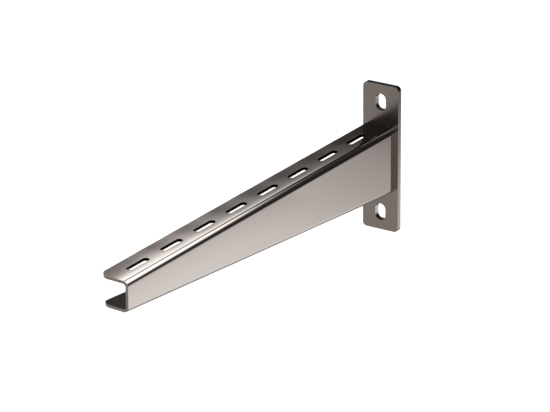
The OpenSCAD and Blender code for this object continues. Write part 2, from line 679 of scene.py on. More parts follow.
@dataclass
class FoldedArm(PunchedSheet):
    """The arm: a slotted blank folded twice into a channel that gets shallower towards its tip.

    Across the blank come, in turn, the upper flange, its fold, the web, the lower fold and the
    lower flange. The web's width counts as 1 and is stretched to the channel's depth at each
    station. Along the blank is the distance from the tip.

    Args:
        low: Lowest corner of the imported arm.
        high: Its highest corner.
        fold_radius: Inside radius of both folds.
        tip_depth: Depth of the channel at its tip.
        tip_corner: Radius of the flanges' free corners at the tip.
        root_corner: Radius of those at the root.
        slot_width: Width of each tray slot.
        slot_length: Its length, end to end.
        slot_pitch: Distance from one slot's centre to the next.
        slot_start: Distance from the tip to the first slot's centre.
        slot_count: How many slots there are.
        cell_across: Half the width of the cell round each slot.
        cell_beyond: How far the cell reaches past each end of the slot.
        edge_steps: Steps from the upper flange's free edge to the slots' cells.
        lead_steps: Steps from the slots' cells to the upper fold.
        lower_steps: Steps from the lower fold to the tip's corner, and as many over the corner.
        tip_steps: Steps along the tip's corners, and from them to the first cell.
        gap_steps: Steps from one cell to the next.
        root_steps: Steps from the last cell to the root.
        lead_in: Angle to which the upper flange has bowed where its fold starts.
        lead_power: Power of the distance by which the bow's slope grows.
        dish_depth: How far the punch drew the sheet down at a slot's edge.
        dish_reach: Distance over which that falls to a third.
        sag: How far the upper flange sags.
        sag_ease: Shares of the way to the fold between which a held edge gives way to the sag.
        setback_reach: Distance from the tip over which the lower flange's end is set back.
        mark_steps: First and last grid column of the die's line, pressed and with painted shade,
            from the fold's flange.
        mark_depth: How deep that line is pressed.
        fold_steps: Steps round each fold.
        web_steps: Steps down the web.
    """

    low: np.ndarray = field(default_factory=lambda: corners("arm")[0])
    high: np.ndarray = field(default_factory=lambda: corners("arm")[1])
    fold_radius: float = 2.5 * MM
    tip_depth: float = 27.5 * MM
    tip_corner: float = 10.0 * MM
    root_corner: float = 0.8 * MM
    slot_width: float = 6.0 * MM
    slot_length: float = 28.0 * MM
    slot_pitch: float = 47.25 * MM
    slot_start: float = 34.0 * MM
    slot_count: int = 8
    cell_across: float = 7.2 * MM
    cell_beyond: float = 4.5 * MM
    edge_steps: int = 7
    lead_steps: int = 5
    lower_steps: int = 8
    tip_steps: tuple[int, int] = (9, 3)
    gap_steps: int = 4
    root_steps: int = 14
    lead_in: float = math.radians(4.5)
    lead_power: float = 3.0
    dish_depth: float = 0.012 * MM
    dish_reach: float = 1.2 * MM
    sag: float = 0.13 * MM
    sag_ease: tuple[float, float] = (0.3, 0.95)
    setback_reach: float = 30.0 * MM
    mark_steps: tuple[int, int] = (2, 4)
    mark_depth: float = 0.03 * MM
    fold_steps: int = 24
    web_steps: int = 14

    def __post_init__(self) -> None:
        """Work out the places that the driving sizes give."""
        self.reach = self.high[1] - self.low[1]
        self.outer_radius = self.fold_radius + self.thickness
        rise = self.high[2] - self.low[2] - self.tip_depth
        self.taper = math.atan(rise / self.reach)
        # The upper fold starts from the lead-in angle, and so a little nearer to the web
        self.upper_line = self.high[0] - self.outer_radius * (1 - math.sin(self.lead_in))
        self.lower_line = self.high[0] - self.outer_radius
        self.lead_length = self.upper_line - self.low[0]
        self.lead_drop = math.tan(self.lead_in) * self.lead_length / (self.lead_power + 1)
        self.upper_centre = (self.high[2] - self.lead_drop - self.sag
                             - self.outer_radius * math.cos(self.lead_in))
        arc = self.outer_radius * math.pi / 2
        self.ends = np.cumsum([self.lead_length, arc, 1.0, arc, self.lower_line - self.low[0]])

    def base(self, y: np.ndarray) -> np.ndarray:
        """Give the height of the lower flange's outer skin, which rises straight to the tip."""
        return self.low[2] + (self.high[1] - y) * math.tan(self.taper)

    def slots(self) -> list[PunchedSlot]:
        """Give the tray slots, evenly pitched from the tip.

        Returns:
            The slots, from the tip to the root.
        """
        centre = (self.low[0] + self.high[0]) / 2 - self.low[0]
        straight = (self.slot_length - self.slot_width) / 2
        return [PunchedSlot(centre, self.slot_start + i * self.slot_pitch, self.slot_width / 2,
                            straight, self.cell_across,
                            straight + self.slot_width / 2 + self.cell_beyond)
                for i in range(self.slot_count)]

    def columns(self) -> np.ndarray:
        """Give the stations across: flange, fold, web, fold, flange.

        Returns:
            The stations, from the upper flange's free edge to the lower one's.
        """
        cell = self.slots()[0].cell_across_stations()
        a, b, c, d, e = self.ends
        edge = spans((self.roll, self.root_corner, 1), (self.root_corner, cell[0], self.edge_steps))
        lead = np.linspace(cell[-1], a, self.lead_steps + 1)
        flange = np.concatenate([edge[:-1], cell[:-1], lead[:-1]])
        middle = spans((a, b, self.fold_steps), (b, c, self.web_steps), (c, d, self.fold_steps))
        tip, eased = e - self.tip_corner, e - self.root_corner
        lower = spans((d, tip, self.lower_steps), (tip, eased, self.lower_steps),
                      (eased, e - self.roll, 1))
        return np.concatenate([flange, middle[:-1], lower])

    def stations(self) -> np.ndarray:
        """Give the stations along: fine at the rounded tip and at the welds, cells between.

        Returns:
            The stations, from the tip to the root.
        """
        cells = [slot.cell_along_stations() for slot in self.slots()]
        corner_steps, before_steps = self.tip_steps
        tip = spans((self.roll, self.tip_corner, corner_steps),
                    (self.tip_corner, cells[0][0], before_steps))
        parts = [tip[:-1]]
        for cell, after in zip(cells, cells[1:]):
            parts += [cell[:-1], np.linspace(cell[-1], after[0], self.gap_steps + 1)[:-1]]
        root = self.reach - self.root_corner
        last = spans((cells[-1][-1], root, self.root_steps), (root, self.reach - self.roll, 1))
        return np.concatenate([*parts, cells[-1][:-1], last])

    def rounded(self, plan: np.ndarray) -> np.ndarray:
        """Round the two free corners at the tip, and ease the two at the root.

        Args:
            plan: Points of the blank, of shape (..., 2).

        Returns:
            The rounded plan.
        """
        tip, root = self.roll, self.reach - self.roll
        for edge in (self.roll, self.ends[-1] - self.roll):
            plan = self.round_corner(plan, (edge, tip), self.tip_corner - self.roll)
            plan = self.round_corner(plan, (edge, root), self.root_corner - self.roll)
        return plan

    def dish(self, plan: np.ndarray) -> np.ndarray:
        """Give how far the punch drew the upper flange down beside each slot.

        It is the dish's depth times e to the power of minus distance over reach.

        Args:
            plan: Points of the blank, of shape (..., 2).

        Returns:
            The drop in metres, of shape (...).
        """
        nearest = np.min([slot.distance(plan) for slot in self.slots()], axis=0)
        drop = self.dish_depth * np.exp(-np.maximum(nearest, 0.0) / self.dish_reach)
        return np.where(plan[..., 0] < self.ends[0], drop, 0.0)

    def sagging(self, share: np.ndarray, along: np.ndarray) -> np.ndarray:
        """Give how far the punching let the upper flange sag.

        Beside a slot all of it sags, and so it does beyond the first slot and the last. Midway
        between two slots its free edge holds its height, and the sag eases in towards the fold.
        The held share is a half of one less the cosine of the turn from slot to slot.

        Args:
            share: Share of the way from the free edge to the fold.
            along: Distance from the tip.

        Returns:
            The sag in metres, of the same shape.
        """
        slots = self.slots()
        first, last = slots[0].along, slots[-1].along
        turn = 2 * math.pi * (np.clip(along, first, last) - first) / self.slot_pitch
        held = (1 - np.cos(turn)) / 2
        return self.sag * (1 - held * (1 - smooth_step(share, *self.sag_ease)))

    def mark(self, across: np.ndarray) -> np.ndarray:
        """Give the share of the line that the die's shoulder pressed along each fold.

        The line lies near each fold's flange, from one of the grid's columns to another. Its colour
        is painted shade, a dark line that stands in for the dark reflection along the fold.

        Args:
            across: Places across the blank.

        Returns:
            The share, 1 on those two columns and between them, and 0 on the columns beside them.
        """
        a, b, _, d, _ = self.ends
        step = (b - a) / self.fold_steps
        first, last = self.mark_steps
        inward = np.minimum(np.abs(across - a) / step, np.abs(d - across) / step)
        inward = np.where((across > a) & (across < d), inward, 0.0)
        return np.clip(np.minimum(inward - first + 1, last + 1 - inward), 0.0, 1.0)

    def wear(self, plan: np.ndarray, side: Side) -> np.ndarray:
        """Give the share of painted shade: a dark line on the die's line, on the outer skin alone,
        standing in for the fold's dark reflection.
        """
        return self.mark(plan[..., 0]) * (side is Side.OUTER)

    def place(self, plan: np.ndarray, side: Side) -> np.ndarray:
        """Fold points of the blank.

        The upper flange is level at its free edge and bows down to the lead-in angle at the fold,
        its slope growing as a power of the distance. Each fold is a quarter turn about its own
        line. The web joins them straight. Everything below it follows the taper, and near the tip
        the lower flange is set back by the slope, since the blank was cut off square.

        Args:
            plan: Points of the blank, of shape (..., 2).
            side: Which skin.

        Returns:
            Points in metres, of shape (..., 3).
        """
        across, along = plan[..., 0], plan[..., 1]
        a, b, c, d, _ = self.ends
        depth = side.value * self.thickness
        y = self.low[1] + along
        radius = self.outer_radius - depth

        # Upper flange and fold
        share = np.clip(across / a, 0.0, 1.0)
        slope = math.tan(self.lead_in) * share ** self.lead_power
        fold = np.clip((across - a) / (b - a), 0.0, 1.0)
        tilt = np.where(across < a, np.arctan(slope),
                        self.lead_in + (math.pi / 2 - self.lead_in) * fold)
        bow = (self.lead_drop * share ** (self.lead_power + 1) + self.dish(plan)
               + self.sagging(share, along))
        flange = across < a
        marked = radius - self.mark_depth * self.mark(across) * (side is Side.OUTER)
        upper_x = np.where(flange, self.low[0] + across - depth * np.sin(tilt),
                           self.high[0] - self.outer_radius + marked * np.sin(tilt))
        upper_z = np.where(flange, self.high[2] - bow - depth * np.cos(tilt),
                           self.upper_centre + marked * np.cos(tilt))

        # Lower fold and flange, in upright sections of the slope
        lower = np.clip((across - c) / (d - c), 0.0, 1.0) * math.pi / 2
        run = np.maximum(across - d, 0.0)
        lower_x = self.lower_line + marked * np.cos(lower) - run
        reach = self.high[0] - self.thickness - lower_x
        near_tip = np.clip(1.0 - along / self.setback_reach, 0.0, 1.0)
        setback = np.maximum(reach, 0.0) * math.tan(self.taper) * near_tip ** 2
        lower_y = y + setback
        rise = (self.outer_radius - marked * np.sin(lower)) / math.cos(self.taper)
        lower_z = self.base(lower_y) + rise

        # Web, from the end of the upper fold to the start of the lower one
        web_x = np.full_like(y, self.high[0] - depth)
        web = np.clip((across - b) / (c - b), 0.0, 1.0)
        foot = self.base(y) + self.outer_radius / math.cos(self.taper)
        web_z = self.upper_centre * (1 - web) + foot * web

        above, below = across <= b, across >= c
        x = np.where(above, upper_x, np.where(below, lower_x, web_x))
        z = np.where(above, upper_z, np.where(below, lower_z, web_z))
        return np.stack([x, np.where(below, lower_y, y), z], axis=-1)


@dataclass
class WeldBead:
    """A fillet weld: a swelling face between two legs, carried along the corner in ripples.

    Args:
        node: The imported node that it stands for.
        start: One end of the corner, in metres.
        stop: The other end.
        leg_a: Way along the first face, away from the corner.
        leg_b: Way along the second face, away from the corner.
        phase: Where the ripples start, so that no two beads are alike.
        leg: Length of each leg.
        crown: How far the face swells past flat.
        ripple: Depth of the ripples.
        pitch: Distance from one ripple to the next.
        lag: How far a ripple's edges lie behind its middle.
        sharpness: Power that narrows the ripples' crests.
        wander: How much the legs' length drifts.
        drift_rates: Rates of the two waves of that drift, in radians a millimetre.
        drift_shifts: How far the bead's phase shifts each of them, in radians.
        sunk: How far the closed edge stands out of the corner.
        across_steps: Steps from one leg's end to the other's.
        ripple_steps: Steps along each ripple.
    """

    node: str
    start: np.ndarray
    stop: np.ndarray
    leg_a: np.ndarray
    leg_b: np.ndarray
    phase: float
    leg: float = 3.0 * MM
    crown: float = 0.36 * MM
    ripple: float = 0.13 * MM
    pitch: float = 1.45 * MM
    lag: float = 1.1 * MM
    sharpness: float = 1.6
    wander: float = 0.16 * MM
    drift_rates: tuple[float, float] = (0.41, 0.23)
    drift_shifts: tuple[float, float] = (5.0, 2.0)
    sunk: float = 0.02 * MM
    across_steps: int = 18
    ripple_steps: int = 10

    def build(self) -> bpy.types.Object:
        """Work out the bead as a profile carried along the corner.

        With u from 0 to 1 over its face, the face is the straight line between the legs' ends,
        pushed out by 4u(1 - u) times the crown. Each ripple adds a swell that lags behind at the
        edges by the square of 2u - 1. The legs drift by the sum of two sine waves. Both ends
        close as quarter ellipses.

        Returns:
            The bead's object.
        """
        span = float(np.linalg.norm(self.stop - self.start))
        onward = (self.stop - self.start) / span
        count = int(span / self.pitch * self.ripple_steps)
        s = np.linspace(0.0, span, count + 1)
        u = np.linspace(0.0, 1.0, self.across_steps + 1)
        out = unit(self.leg_a + self.leg_b)
        lagged = s[:, None] + self.lag * (2 * u - 1)[None, :] ** 2
        cycle = lagged / self.pitch + self.phase
        drift = sum(np.sin(s * rate / MM + shift * self.phase)
                    for rate, shift in zip(self.drift_rates, self.drift_shifts))
        leg = self.leg - self.wander * (1 + drift[:, None] / 2) / 2
        swell = (0.5 + 0.5 * np.cos(2 * math.pi * cycle)) ** self.sharpness
        face = 4 * u * (1 - u)
        lift = self.crown * face + self.ripple * (swell - 1) * np.sqrt(face)
        section = (leg[..., None] * ((1 - u)[None, :, None] * self.leg_a
                                     + u[None, :, None] * self.leg_b)
                   + lift[..., None] * out)
        corner = np.broadcast_to(out * self.sunk, (len(s), 1, 3))
        section = np.concatenate([section, corner], axis=1)
        end = np.minimum(s, span - s) / self.leg
        size = np.sqrt(np.clip(1 - (1 - np.minimum(end, 1.0)) ** 2, 0.0, 1.0))
        grid = (self.start + onward * s[:, None])[:, None] + section * size[:, None, None]
        grid = np.concatenate([grid, grid[:, :1]], axis=1)
        skin = Skin()
        skin.add_grid(grid)
        return skin.build("bead_" + self.node)


@dataclass
class NodeGroups:
    """Shader node groups that more than one finish uses, and methods that add nodes to a tree.

    Args:
        fine_grain: Waves a metre along x, y and z of the fine rolling grain.
        coarse_grain: The same for the coarse grain.
        cloud_scale: The same for the clouds of a pickled face.
        ragged_scale: The same for the ragged edge of the heat's colours.
        ragged_push: How far that edge wanders, in shares of heat.
        tint_seen: Share of heat from which the colours show, and the one where they are full.
        tint_stops: The colours, each after the share of heat that it stands for.
    """

    fine_grain: Triple = (5200.0, 90.0, 5200.0)
    coarse_grain: Triple = (1300.0, 22.0, 1300.0)
    cloud_scale: Triple = (34.0, 17.0, 34.0)
    ragged_scale: Triple = (260.0, 260.0, 260.0)
    ragged_push: float = 0.22
    tint_seen: tuple[float, float] = (0.08, 0.5)
    tint_stops: tuple[tuple[float, Colour], ...] = (
        (0.0, (0.62, 0.57, 0.53, 1.0)), (0.30, (0.60, 0.50, 0.38, 1.0)),
        (0.52, (0.46, 0.33, 0.24, 1.0)), (0.68, (0.26, 0.22, 0.33, 1.0)),
        (0.84, (0.24, 0.30, 0.40, 1.0)), (1.0, (0.40, 0.39, 0.38, 1.0)))

    def __post_init__(self) -> None:
        """Build each group once."""
        self.grain = self.make_grain()
        self.clouds = self.make_clouds()
        self.heat_tint = self.make_heat_tint()

    @staticmethod
    def start(name: str, inputs: dict[str, float],
              outputs: dict[str, str]) -> tuple[bpy.types.NodeTree, bpy.types.Node,
                                                bpy.types.Node]:
        """Start a group with its sockets.

        Args:
            name: Name of the group.
            inputs: Name and first value of each number that goes in.
            outputs: Name and socket type of each value that comes out.

        Returns:
            The group, its input node and its output node.
        """
        group = bpy.data.node_groups.new(name, "ShaderNodeTree")
        for label, value in inputs.items():
            socket = group.interface.new_socket(label, in_out="INPUT",
                                                socket_type="NodeSocketFloat")
            socket.default_value = value
        for label, kind in outputs.items():
            group.interface.new_socket(label, in_out="OUTPUT", socket_type=kind)
        return group, group.nodes.new("NodeGroupInput"), group.nodes.new("NodeGroupOutput")

    @staticmethod
    def maths(tree: bpy.types.NodeTree, operation: str, *values: object) -> bpy.types.NodeSocket:
        """Add a Math node.

        Args:
            tree: The tree that it goes in.
            operation: What it works out.
            values: Its inputs, each a number or a socket.

        Returns:
            Its output.
        """
        node = tree.nodes.new("ShaderNodeMath")
        node.operation = operation
        for socket, value in zip(node.inputs, values):
            if isinstance(value, (int, float)):
                socket.default_value = value
            else:
                tree.links.new(value, socket)
        return node.outputs[0]

    @classmethod
    def backdrop_share(cls, tree: bpy.types.NodeTree) -> bpy.types.NodeSocket:
        """Give 1 on the rays that show the backdrop, straight, mirrored or through, and 0 else.

        Args:
            tree: The tree that it goes in.

        Returns:
            The share.
        """
        rays = tree.nodes.new("ShaderNodeLightPath")
        seen = cls.maths(tree, "MAXIMUM", rays.outputs["Is Camera Ray"],
                         rays.outputs["Is Glossy Ray"])
        return cls.maths(tree, "MAXIMUM", seen, rays.outputs["Is Transmission Ray"])

    @staticmethod
    def attribute(tree: bpy.types.NodeTree, label: str) -> bpy.types.NodeSocket:
        """Read one of the mesh's own shares.

        Args:
            tree: The tree that it goes in.
            label: Name of the share.

        Returns:
            The share.
        """
        node = tree.nodes.new("ShaderNodeAttribute")
        node.attribute_name = label
        return node.outputs["Fac"]

    @staticmethod
    def ramp(tree: bpy.types.NodeTree, stops: tuple[tuple[float, Colour], ...],
             share: bpy.types.NodeSocket) -> bpy.types.NodeSocket:
        """Add a colour ramp.

        Args:
            tree: The tree that it goes in.
            stops: Its colours, each after its place.
            share: The place on it.

        Returns:
            The colour there.
        """
        node = tree.nodes.new("ShaderNodeValToRGB")
        marks = node.color_ramp.elements
        for mark in list(marks)[1:]:
            marks.remove(mark)
        marks[0].position, marks[0].color = stops[0]
        for place, colour in stops[1:]:
            marks.new(place).color = colour
        tree.links.new(share, node.inputs["Fac"])
        return node.outputs["Color"]

    @staticmethod
    def mix(tree: bpy.types.NodeTree, share: bpy.types.NodeSocket, a: object,
            b: object) -> bpy.types.NodeSocket:
        """Mix two colours by a share.

        Args:
            tree: The tree that it goes in.
            share: Share of the second colour.
            a: The first colour, as three numbers or a socket.
            b: The second colour, likewise.

        Returns:
            The mixed colour.
        """
        node = tree.nodes.new("ShaderNodeMix")
        node.data_type = "RGBA"
        tree.links.new(share, node.inputs[0])
        for socket, value in ((node.inputs[6], a), (node.inputs[7], b)):
            if isinstance(value, tuple):
                socket.default_value = (*value, 1.0)
            else:
                tree.links.new(value, socket)
        return node.outputs[2]

    @staticmethod
    def placed(tree: bpy.types.NodeTree, group: bpy.types.NodeTree,
               **values: float) -> bpy.types.Node:
        """Place a shared group in a material.

        Args:
            tree: The material's tree.
            group: The group.
            values: Value of any of its inputs.

        Returns:
            The group's node.
        """
        node = tree.nodes.new("ShaderNodeGroup")
        node.node_tree = group
        for label, value in values.items():
            node.inputs[label].default_value = value
        return node

    @staticmethod
    def noise(tree: bpy.types.NodeTree, scale: Triple, detail: float,
              roughness: float = 0.5) -> bpy.types.NodeSocket:
        """Add noise on object coordinates.

        Args:
            tree: The tree that it goes in.
            scale: Waves in a metre along x, y and z.
            detail: Octaves of finer noise.
            roughness: How strong the finer noise is.

        Returns:
            The noise, from 0 to 1.
        """
        place = tree.nodes.new("ShaderNodeTexCoord")
        mapping = tree.nodes.new("ShaderNodeMapping")
        mapping.inputs["Scale"].default_value = scale
        wave = tree.nodes.new("ShaderNodeTexNoise")
        wave.inputs["Scale"].default_value = 1.0
        wave.inputs["Detail"].default_value = detail
        wave.inputs["Roughness"].default_value = roughness
        tree.links.new(place.outputs["Object"], mapping.inputs["Vector"])
        tree.links.new(mapping.outputs["Vector"], wave.inputs["Vector"])
        return wave.outputs["Fac"]

    def make_grain(self) -> bpy.types.NodeTree:
        """Make the rolling grain: fine noise drawn out along the arm, times a strength.

        Returns:
            The group.
        """
        group, inside, outside = self.start("rolling_grain", {"Strength": 1.0},
                                            {"Height": "NodeSocketFloat"})
        fine = self.noise(group, self.fine_grain, detail=2.0)
        coarse = self.noise(group, self.coarse_grain, detail=3.0)
        both = self.maths(group, "ADD", fine, coarse)
        centred = self.maths(group, "SUBTRACT", both, 1.0)
        group.links.new(self.maths(group, "MULTIPLY", centred, inside.outputs["Strength"]),
                        outside.inputs["Height"])
        return group

    def make_clouds(self) -> bpy.types.NodeTree:
        """Make the clouding of a pickled face: broad soft noise about 0, times a strength.

        Returns:
            The group.
        """
        group, inside, outside = self.start("pickled_clouds", {"Strength": 1.0},
                                            {"Cloud": "NodeSocketFloat"})
        broad = self.noise(group, self.cloud_scale, detail=4.0, roughness=0.6)
        centred = self.maths(group, "SUBTRACT", broad, 0.5)
        group.links.new(self.maths(group, "MULTIPLY", centred, inside.outputs["Strength"]),
                        outside.inputs["Cloud"])
        return group

    def make_heat_tint(self) -> bpy.types.NodeTree:
        """Make the colours that heat leaves beside a weld, by how near the weld is.

        Returns:
            The group.
        """
        group, inside, outside = self.start("heat_tint", {"Heat": 0.0},
                                            {"Color": "NodeSocketColor",
                                             "Mask": "NodeSocketFloat"})
        ragged = self.noise(group, self.ragged_scale, detail=2.0)
        centred = self.maths(group, "SUBTRACT", ragged, 0.5)
        pushed = self.maths(group, "MULTIPLY_ADD", centred, self.ragged_push,
                            inside.outputs["Heat"])
        group.links.new(self.ramp(group, self.tint_stops, pushed), outside.inputs["Color"])
        step = group.nodes.new("ShaderNodeMapRange")
        step.inputs["From Min"].default_value = self.tint_seen[0]
        step.inputs["From Max"].default_value = self.tint_seen[1]
        group.links.new(inside.outputs["Heat"], step.inputs["Value"])
        group.links.new(step.outputs["Result"], outside.inputs["Mask"])
        return group


@dataclass(frozen=True)
class SteelFinish:
    """Stainless steel as the mill and the shop left it.

    Args:
        name: Name of the material.
        colour: Colour of the face.
        cut_colour: Colour of a sheared edge.
        dull_colour: Colour of painted shade: the dark lines on the folds, the slot walls and the
            plate's ends.
        roughness: Roughness of the face.
        cut_roughness: Roughness of a sheared edge.
        grain: Strength of the rolling grain, in millimetres of bump.
        clouds: How far the clouding changes the roughness.
    """

    name: str
    colour: Triple
    cut_colour: Triple
    dull_colour: Triple
    roughness: float
    cut_roughness: float
    grain: float
    clouds: float

    def material(self, groups: NodeGroups) -> bpy.types.Material:
        """Build the material.

        Args:
            groups: The shared node groups.

        Returns:
            The material.
        """
        made = bpy.data.materials.new(self.name)
        made.use_nodes = True
        tree = made.node_tree
        shader = tree.nodes["Principled BSDF"]
        shader.inputs["Metallic"].default_value = 1.0

        # Colour: heat tints the face, a cut edge has its own, and painted shade darkens the marked
        # places
        cut = groups.attribute(tree, "cut")
        tint = groups.placed(tree, groups.heat_tint)
        tree.links.new(groups.attribute(tree, "heat"), tint.inputs["Heat"])
        face = groups.mix(tree, tint.outputs["Mask"], self.colour, tint.outputs["Color"])
        clean = groups.mix(tree, cut, face, self.cut_colour)
        worn = groups.mix(tree, groups.attribute(tree, "wear"), clean, self.dull_colour)
        tree.links.new(worn, shader.inputs["Base Color"])

        # Roughness: the face's, with its clouds, moved to the cut edge's
        cloud = groups.placed(tree, groups.clouds, Strength=self.clouds).outputs["Cloud"]
        clouded = groups.maths(tree, "ADD", cloud, self.roughness)
        rougher = groups.maths(tree, "MULTIPLY", cut, self.cut_roughness - self.roughness)
        tree.links.new(groups.maths(tree, "ADD", clouded, rougher), shader.inputs["Roughness"])

        bump = tree.nodes.new("ShaderNodeBump")
        bump.inputs["Distance"].default_value = MM
        grain = groups.placed(tree, groups.grain, Strength=self.grain).outputs["Height"]
        tree.links.new(grain, bump.inputs["Height"])
        tree.links.new(bump.outputs["Normal"], shader.inputs["Normal"])
        return made


# Each finish's dull_colour is near-black painted shade, standing in for shade and dark reflections
ARM_STEEL = SteelFinish(
    "sheet_steel_pickled", colour=(0.645, 0.613, 0.588), cut_colour=(0.66, 0.62, 0.59),
    dull_colour=(0.03, 0.022, 0.018), roughness=0.065, cut_roughness=0.20, grain=0.002,
    clouds=0.02)
PLATE_STEEL = SteelFinish(
    "plate_steel_pickled", colour=(0.640, 0.597, 0.550), cut_colour=(0.75, 0.70, 0.66),
    dull_colour=(0.05, 0.042, 0.037), roughness=0.22, cut_roughness=0.22, grain=0.002,
    clouds=0.03)
WELD_STEEL = SteelFinish(
    "weld_steel_brushed", colour=(0.56, 0.53, 0.50), cut_colour=(0.50, 0.47, 0.44),
    dull_colour=(0.05, 0.042, 0.037), roughness=0.30, cut_roughness=0.40, grain=0.010,
    clouds=0.10)


@dataclass
class Bracket:
    """The whole bracket: head plate, arm and the three beads inside the channel.

    Args:
        plate_sheet: The head plate.
        arm_sheet: The arm.
        heat_reach: Distance from a weld over which the heat's share falls to a third.
        heat_through: Share of the heat that shows on the arm's outer skin.
        heat_outside: Share of it that shows on the head plate outside the channel.
        bead_inset: How far the bead on the web stops short of its packed ends.
        bead_phases: Where the ripples of the three beads start.
    """

    # The slots' walls get painted shade: on the plate at the slots' upper and lower ends, on the
    # arm all round
    plate_sheet: HeadPlate = field(default_factory=lambda: HeadPlate(
        thickness=5.0 * MM, roll=0.07 * MM, burr=0.06 * MM, lean=0.04 * MM, burnished=0.52,
        punch_wear=0.9, punch_taper=0.4 * MM, drag_from=0.3))
    arm_sheet: FoldedArm = field(default_factory=lambda: FoldedArm(
        thickness=2.5 * MM, roll=0.05 * MM, burr=0.04 * MM, lean=0.03 * MM, burnished=0.5,
        punch_wear=1.0, punch_taper=0.50 * MM))
    heat_reach: float = 5.5 * MM
    heat_through: float = 0.12
    heat_outside: float = 0.35
    bead_inset: float = 0.25 * MM
    bead_phases: Triple = (0.15, 0.55, 0.80)

    def beads(self) -> list[WeldBead]:
        """Give the beads along the channel's three inner corners, on the head plate's front.

        Returns:
            The beads under the upper flange, beside the web and over the lower flange.
        """
        arm = self.arm_sheet
        x, y, z = np.eye(3)
        top_low, top_high = corners("weld_top")
        web_low, web_high = corners("weld_web")
        floor_low, floor_high = corners("weld_bottom")
        rise = np.array([0.0, -math.cos(arm.taper), math.sin(arm.taper)])
        under = arm.high[2] - arm.thickness
        foot, head = web_low[2] + self.bead_inset, web_high[2] - self.bead_inset
        top, web, bottom = self.bead_phases
        return [
            WeldBead("weld_top", np.array([top_low[0], top_high[1], under]),
                     np.array([top_high[0], top_high[1], under]), -y, -z, top),
            WeldBead("weld_web", np.array([web_high[0], web_high[1], foot]),
                     np.array([web_high[0], web_high[1], head]), -x, -y, web),
            WeldBead("weld_bottom", np.array([floor_low[0], floor_high[1], floor_low[2]]),
                     np.array([floor_high[0], floor_high[1], floor_low[2]]), rise, z, bottom),
        ]

    def heat(self, piece: bpy.types.Object, beads: list[WeldBead], within: bool) -> None:
        """Store on a piece how near each point lies to a weld.

        The share is e to the power of minus the distance from the nearest bead's legs over the
        reach of the heat. It is less on a sheet's outer skin or outside the channel.

        Args:
            piece: The piece.
            beads: The beads.
            within: Whether the outer skin gets less, and not what lies outside the channel.
        """
        mesh = piece.data
        points = np.empty(len(mesh.vertices) * 3)
        mesh.vertices.foreach_get("co", points)
        points = points.reshape(-1, 3)
        nearest = np.full(len(points), np.inf)
        for bead in beads:
            span = bead.stop - bead.start
            share = np.clip((points - bead.start) @ span / (span @ span), 0.0, 1.0)
            away = np.linalg.norm(points - bead.start - share[:, None] * span, axis=1)
            nearest = np.minimum(nearest, away - bead.leg)
        heat = np.exp(-np.maximum(nearest, 0.0) / self.heat_reach)
        if within:
            inner = np.empty(len(points))
            mesh.attributes["inner"].data.foreach_get("value", inner)
            heat = heat * (self.heat_through + (1 - self.heat_through) * inner)
        else:
            arm = self.arm_sheet
            x, z = points[:, 0], points[:, 2]
            inside = (x < arm.high[0]) & (z < arm.high[2]) & (z > arm.low[2])
            heat = np.where(inside, heat, heat * self.heat_outside)
        store_share(mesh, "heat", heat)

    @staticmethod
    def dress(piece: bpy.types.Object, finish: bpy.types.Material, slot: Slot, node: str) -> None:
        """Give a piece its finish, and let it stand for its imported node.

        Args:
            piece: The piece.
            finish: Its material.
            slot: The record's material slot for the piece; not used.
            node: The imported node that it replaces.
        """
        piece.data.materials.append(finish)
        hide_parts(node)
        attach(piece, BODY)
        LOG.info("%s stands for %s with %d faces", piece.name, node, len(piece.data.polygons))

    def build(self, groups: NodeGroups) -> None:
        """Build, tint and dress every piece.

        Args:
            groups: The shared shader node groups.
        """
        beads = self.beads()
        plate = self.plate_sheet.surface().build("slotted_head_plate")
        self.heat(plate, beads, within=False)
        self.dress(plate, PLATE_STEEL.material(groups), Slot.PLATE, "head_plate")
        arm = self.arm_sheet.surface().build("folded_arm")
        self.heat(arm, beads, within=True)
        self.dress(arm, ARM_STEEL.material(groups), Slot.SHEET, "arm")
        weld_finish = WELD_STEEL.material(groups)
        for bead in beads:
            piece = bead.build()
            self.heat(piece, [], within=False)
            self.dress(piece, weld_finish, Slot.WELD, bead.node)


def along_curve(curve: Curve, x: np.ndarray) -> np.ndarray:
    """Read a curve of (place, level) points, straight between them and level past its ends."""
    places, levels = zip(*curve)
    return np.interp(x, places, levels)


